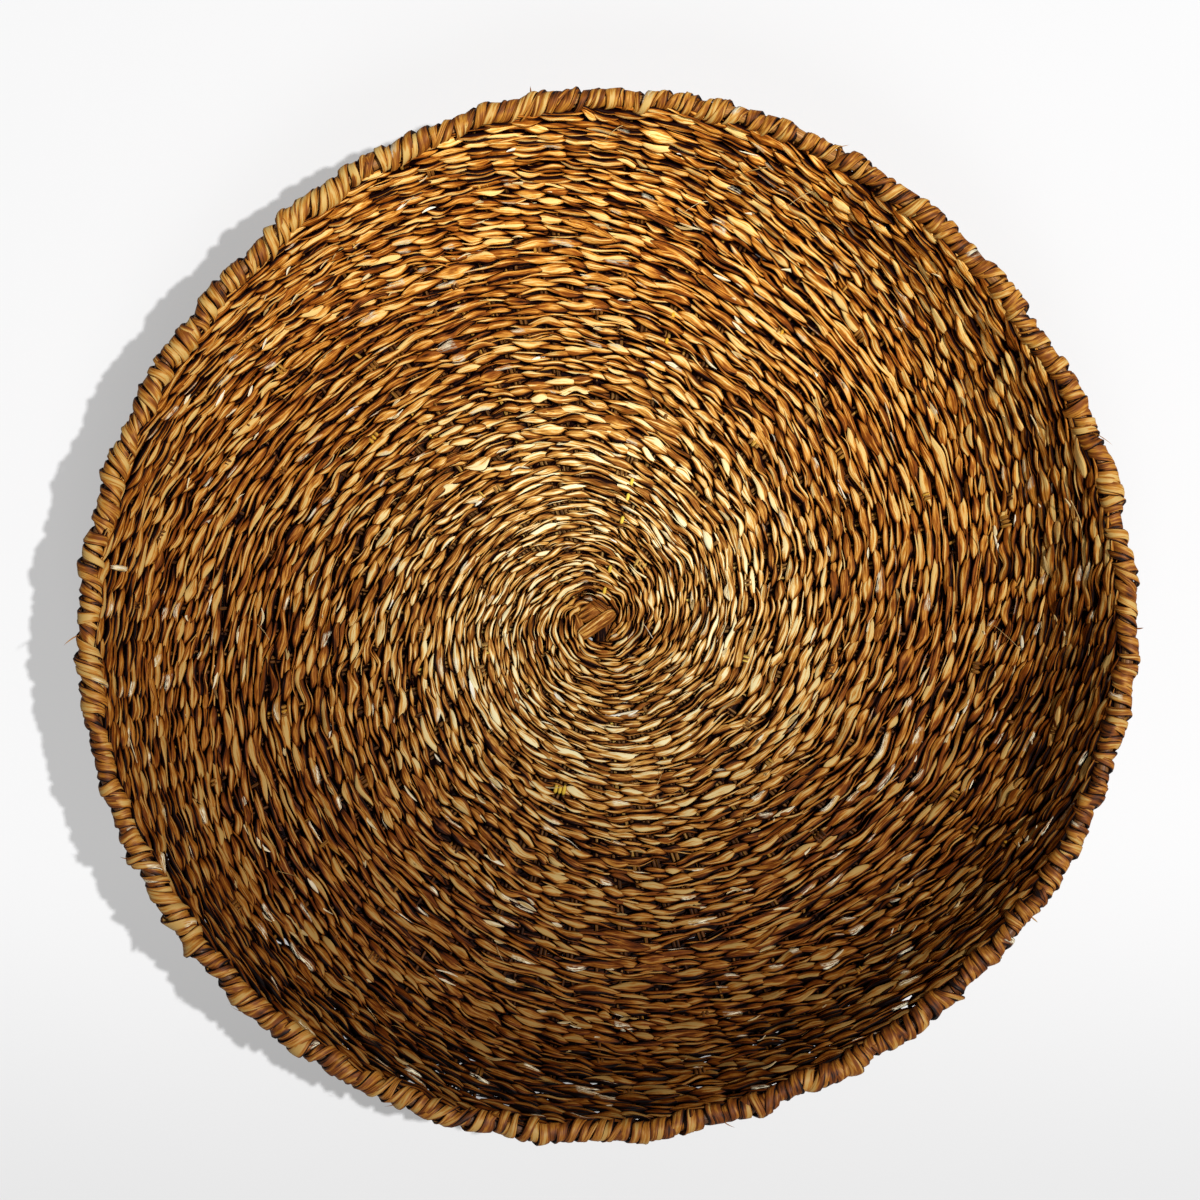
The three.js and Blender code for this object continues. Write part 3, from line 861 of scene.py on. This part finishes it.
def binding_strand(number):
    """One strand of the band, wound round the whole rim."""
    turns = np.arange(BINDING_TURNS * STEPS_PER_TURN + 1) / STEPS_PER_TURN
    middle = 2 * math.pi * (turns + number / BAND_STRANDS) / BINDING_TURNS
    turn = 2 * math.pi * turns
    half_turns = 2 * BINDING_TURNS
    place = 2 * turns
    width = BINDING_WIDTH * carried(by_blade(half_turns, 1, 0.2) + chance.normal(0, 0.25, half_turns), place)
    width = np.maximum(width, 0.3 * BINDING_WIDTH)
    thick = BINDING_THICK * carried(chance.normal(1, 0.2, half_turns), place)
    bunch = carried(bunch_lift, middle / (2 * math.pi) * len(bunch_lift))
    lump = bunch + carried(chance.normal(0, BINDING_LUMPS, half_turns), place)
    slant = carried(bunch_slant, middle / (2 * math.pi) * len(bunch_slant)) * np.cos(turn)
    drift = slant + carried(chance.normal(0, BINDING_DRIFT, half_turns), place)
    lean = carried(chance.normal(0, 0.22, half_turns), place)
    crease = carried(chance.uniform(-0.4, 0.8, half_turns), place)
    turned, raised, across, _ = strand_section(width, thick, lean, crease)
    points = on_rim(
        middle[:, None] + (drift[:, None] + turned) / RIM_RADIUS,
        turn[:, None],
        BINDING_MIDDLE + lump[:, None] + raised,
    )
    points[-1] = points[0]
    crossing = np.round(place).astype(int) % half_turns
    tone = by_blade(half_turns, BINDING_TONE, 0.15) + chance.normal(0, 0.12, half_turns)
    # Painted light and shade: the rim lighter on the left and a little on the right, darker at the near side.
    rim_side_light = 0.13 * np.maximum(np.cos(middle - 2.8), 0) + 0.07 * np.maximum(np.cos(middle), 0)
    rim_side_light = rim_side_light - 0.04 - 0.05 * np.maximum(-np.sin(middle), 0)
    # Painted shade along each strand's edges.
    tone = tone[crossing][:, None] - BINDING_EDGE_SHADE * np.abs(across) ** 11
    # Painted light: lighter where the binding bulges out.
    tone = tone + (200 * lump + rim_side_light)[:, None]
    # Painted light and shade: one side of each strand lighter than the other.
    tone = tone + carried(chance.normal(0, 0.24, half_turns), place)[:, None] * across
    torn = (chance.random(half_turns) < 0.02)[crossing][:, None] * (across > 0.2)
    length = 2000 * math.pi * BINDING_MIDDLE * BINDING_TURNS
    start = chance.uniform(0, 900, 2)
    return {"points": points, "size": (7.0, length), "start": start, "tone": tone, "torn": torn}


bunch_lift = chance.normal(0, BINDING_LUMPS, BUNCH_LIFTS)
bunch_angle = 2 * math.pi * np.arange(BUNCH_SLANTS) / BUNCH_SLANTS
bunch_slant = 0.0011 + 0.0008 * np.cos(bunch_angle) - 0.0006 * np.sin(bunch_angle)
bunch_slant = bunch_slant + chance.normal(0, 0.0010, BUNCH_SLANTS)
binding = lay_strands(
    "rim_binding_strands", [binding_strand(number) for number in range(BAND_STRANDS)], binding_finish
)
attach(binding, "root")
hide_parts(*[f"rim_binding_{number:02d}" for number in range(1, 9)])

# The rim's whiskers
# Ends of the binding's strands that were not trimmed: thin bent fibres of seagrass that stick out of the rim
# from between its turns.
WHISKER_ANGLES = (-1, 21, 64, 98, 131, 182, 207, 228, 247, 283, 325)  # degrees round the tray
WHISKER_STEPS = 7
WHISKER_WIDTH = 0.0006
WHISKER_TONE = 0.62

chance = np.random.default_rng(61)
whiskers = []
for degrees in WHISKER_ANGLES:
    share = np.linspace(0, 1, WHISKER_STEPS)[:, None]
    half = WHISKER_WIDTH / 2 * np.clip(4 * np.minimum(share, 1 - share), 0, 1)
    length = chance.uniform(0.0045, 0.0075)
    bend = chance.normal(0, 0.018)
    angle = math.radians(degrees) + chance.normal(0, 0.01) * share + bend * share**2
    turn = chance.uniform(0.0, 0.6) - 0.3 * share
    radius = 0.5 * BINDING_MIDDLE + length * share
    points = on_rim(angle + half * np.cos(round_stem) / RIM_RADIUS, turn, radius)
    points[..., 2] += half * np.sin(round_stem)
    start = (degrees, 0.0)
    whiskers.append({"points": points, "size": (2.0, 1000 * length), "start": start, "tone": WHISKER_TONE})
rim_whiskers = lay_strands("rim_whiskers", whiskers, binding_finish)
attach(rim_whiskers, "root")

# The floor that the tray stands on
# A plain sweep of pale matt paper, which keeps the tray's shadow. To the camera it glows a little, more at
# the far side than at the near one and not at all under the tray.
FLOOR_SIZE = 3.0
FLOOR_COLOUR = (0.507, 0.507, 0.51, 1)
NEAR_EDGE = -0.29
FAR_EDGE = -0.08
NEAR_GLOW = 0.28
FAR_GLOW = 0.435
GLOW_START = 0.17  # distance from the tray's middle
GLOW_FULL = 0.195
ground = bmesh.new()
bmesh.ops.create_grid(ground, x_segments=1, y_segments=1, size=FLOOR_SIZE)
ground_mesh = bpy.data.meshes.new("pale_floor")
ground.to_mesh(ground_mesh)
ground.free()
ground_finish = bpy.data.materials.new("pale_paper")
ground_finish.use_nodes = True
paper = ground_finish.node_tree.nodes["Principled BSDF"]
paper.inputs["Base Color"].default_value = FLOOR_COLOUR
paper.inputs["Roughness"].default_value = 0.9
paper.inputs["Specular IOR Level"].default_value = 0.1
paper.inputs["Emission Color"].default_value = (1, 1, 1, 1)
ground_node, ground_link = ground_finish.node_tree.nodes.new, ground_finish.node_tree.links.new
seen = ground_node("ShaderNodeLightPath")
spot = ground_node("ShaderNodeTexCoord")
away = ground_node("ShaderNodeVectorMath")
away.operation = "LENGTH"
clear = ground_node("ShaderNodeMapRange")
clear.inputs["From Min"].default_value = GLOW_START
clear.inputs["From Max"].default_value = GLOW_FULL
place = ground_node("ShaderNodeSeparateXYZ")
level = ground_node("ShaderNodeMapRange")
level.interpolation_type = "SMOOTHSTEP"
level.inputs["From Min"].default_value = NEAR_EDGE
level.inputs["From Max"].default_value = FAR_EDGE
level.inputs["To Min"].default_value = NEAR_GLOW
level.inputs["To Max"].default_value = FAR_GLOW
glow = ground_node("ShaderNodeMath")
glow.operation = "MULTIPLY"
shown = ground_node("ShaderNodeMath")
shown.operation = "MULTIPLY"
ground_link(spot.outputs["Object"], away.inputs[0])
ground_link(away.outputs["Value"], clear.inputs["Value"])
ground_link(spot.outputs["Object"], place.inputs["Vector"])
ground_link(place.outputs["Y"], level.inputs["Value"])
ground_link(clear.outputs["Result"], glow.inputs[0])
ground_link(level.outputs["Result"], glow.inputs[1])
ground_link(glow.outputs["Value"], shown.inputs[0])
ground_link(seen.outputs["Is Camera Ray"], shown.inputs[1])
ground_link(shown.outputs["Value"], paper.inputs["Emission Strength"])
ground_mesh.materials.append(ground_finish)
floor = bpy.data.objects.new("pale_floor", ground_mesh)
bpy.context.scene.collection.objects.link(floor)

# The light
# A lamp high on the right throws the shadow to the left, a broad soft one stands at the near side, and the
# sky fills what they leave.
KEY_PLACE = (3.25, 0.16, 7.31)
KEY_SIZE = 0.25
KEY_POWER = 594
BROAD_PLACE = (-0.3, -3.5, 3.5)
BROAD_SIZE = 2.5
BROAD_POWER = 41
SKY_COLOUR = (1.0, 0.99, 0.97, 1)
SKY_STRENGTH = 0.07


def lamp(name, place, size, power):
    """A square area lamp at a place, turned to the tray."""
    light = bpy.data.lights.new(name, "AREA")
    light.shape = "SQUARE"
    light.size = size
    light.energy = power
    holder = bpy.data.objects.new(name, light)
    bpy.context.scene.collection.objects.link(holder)
    holder.location = place
    holder.rotation_mode = "QUATERNION"
    towards = -holder.location
    holder.rotation_quaternion = towards.to_track_quat("-Z", "Y")


lamp("key_lamp", KEY_PLACE, KEY_SIZE, KEY_POWER)
lamp("broad_lamp", BROAD_PLACE, BROAD_SIZE, BROAD_POWER)
sky = bpy.data.worlds.new("studio")
sky.use_nodes = True
sky.node_tree.nodes["Background"].inputs["Color"].default_value = SKY_COLOUR
sky.node_tree.nodes["Background"].inputs["Strength"].default_value = SKY_STRENGTH
bpy.context.scene.world = sky

# The camera
# Almost straight above the tray, leaning a little to the lower left, with a long lens. Its shift puts the
# weave's middle where the photograph has it.
CAMERA_DISTANCE = 1.25
LEAN_X = math.radians(4.7)
LEAN_Y = math.radians(1.6)
IMAGE_SIDE = 1200
SENSOR_WIDTH = 36
PIXELS_PER_METRE = 2238  # at the floor
WEAVE_MIDDLE = (596, 621)  # in pixels, from the image's top left corner
camera_data = bpy.data.cameras.new("camera")
camera_data.sensor_width = SENSOR_WIDTH
camera_data.lens = SENSOR_WIDTH * CAMERA_DISTANCE * PIXELS_PER_METRE / IMAGE_SIDE
camera_data.shift_x = -(WEAVE_MIDDLE[0] - IMAGE_SIDE / 2) / IMAGE_SIDE
camera_data.shift_y = (WEAVE_MIDDLE[1] - IMAGE_SIDE / 2) / IMAGE_SIDE
camera = bpy.data.objects.new("camera", camera_data)
bpy.context.scene.collection.objects.link(camera)
camera.location = (
    -CAMERA_DISTANCE * math.sin(LEAN_X),
    -CAMERA_DISTANCE * math.sin(LEAN_Y),
    CAMERA_DISTANCE * math.cos(LEAN_X) * math.cos(LEAN_Y),
)
back = camera.location.normalized()
right = mathutils.Vector((0, 1, 0)).cross(back).normalized()
camera.rotation_mode = "QUATERNION"
camera.rotation_quaternion = mathutils.Matrix((right, back.cross(right), back)).transposed().to_quaternion()
bpy.context.scene.camera = camera
bpy.context.scene.view_settings.view_transform = "Standard"
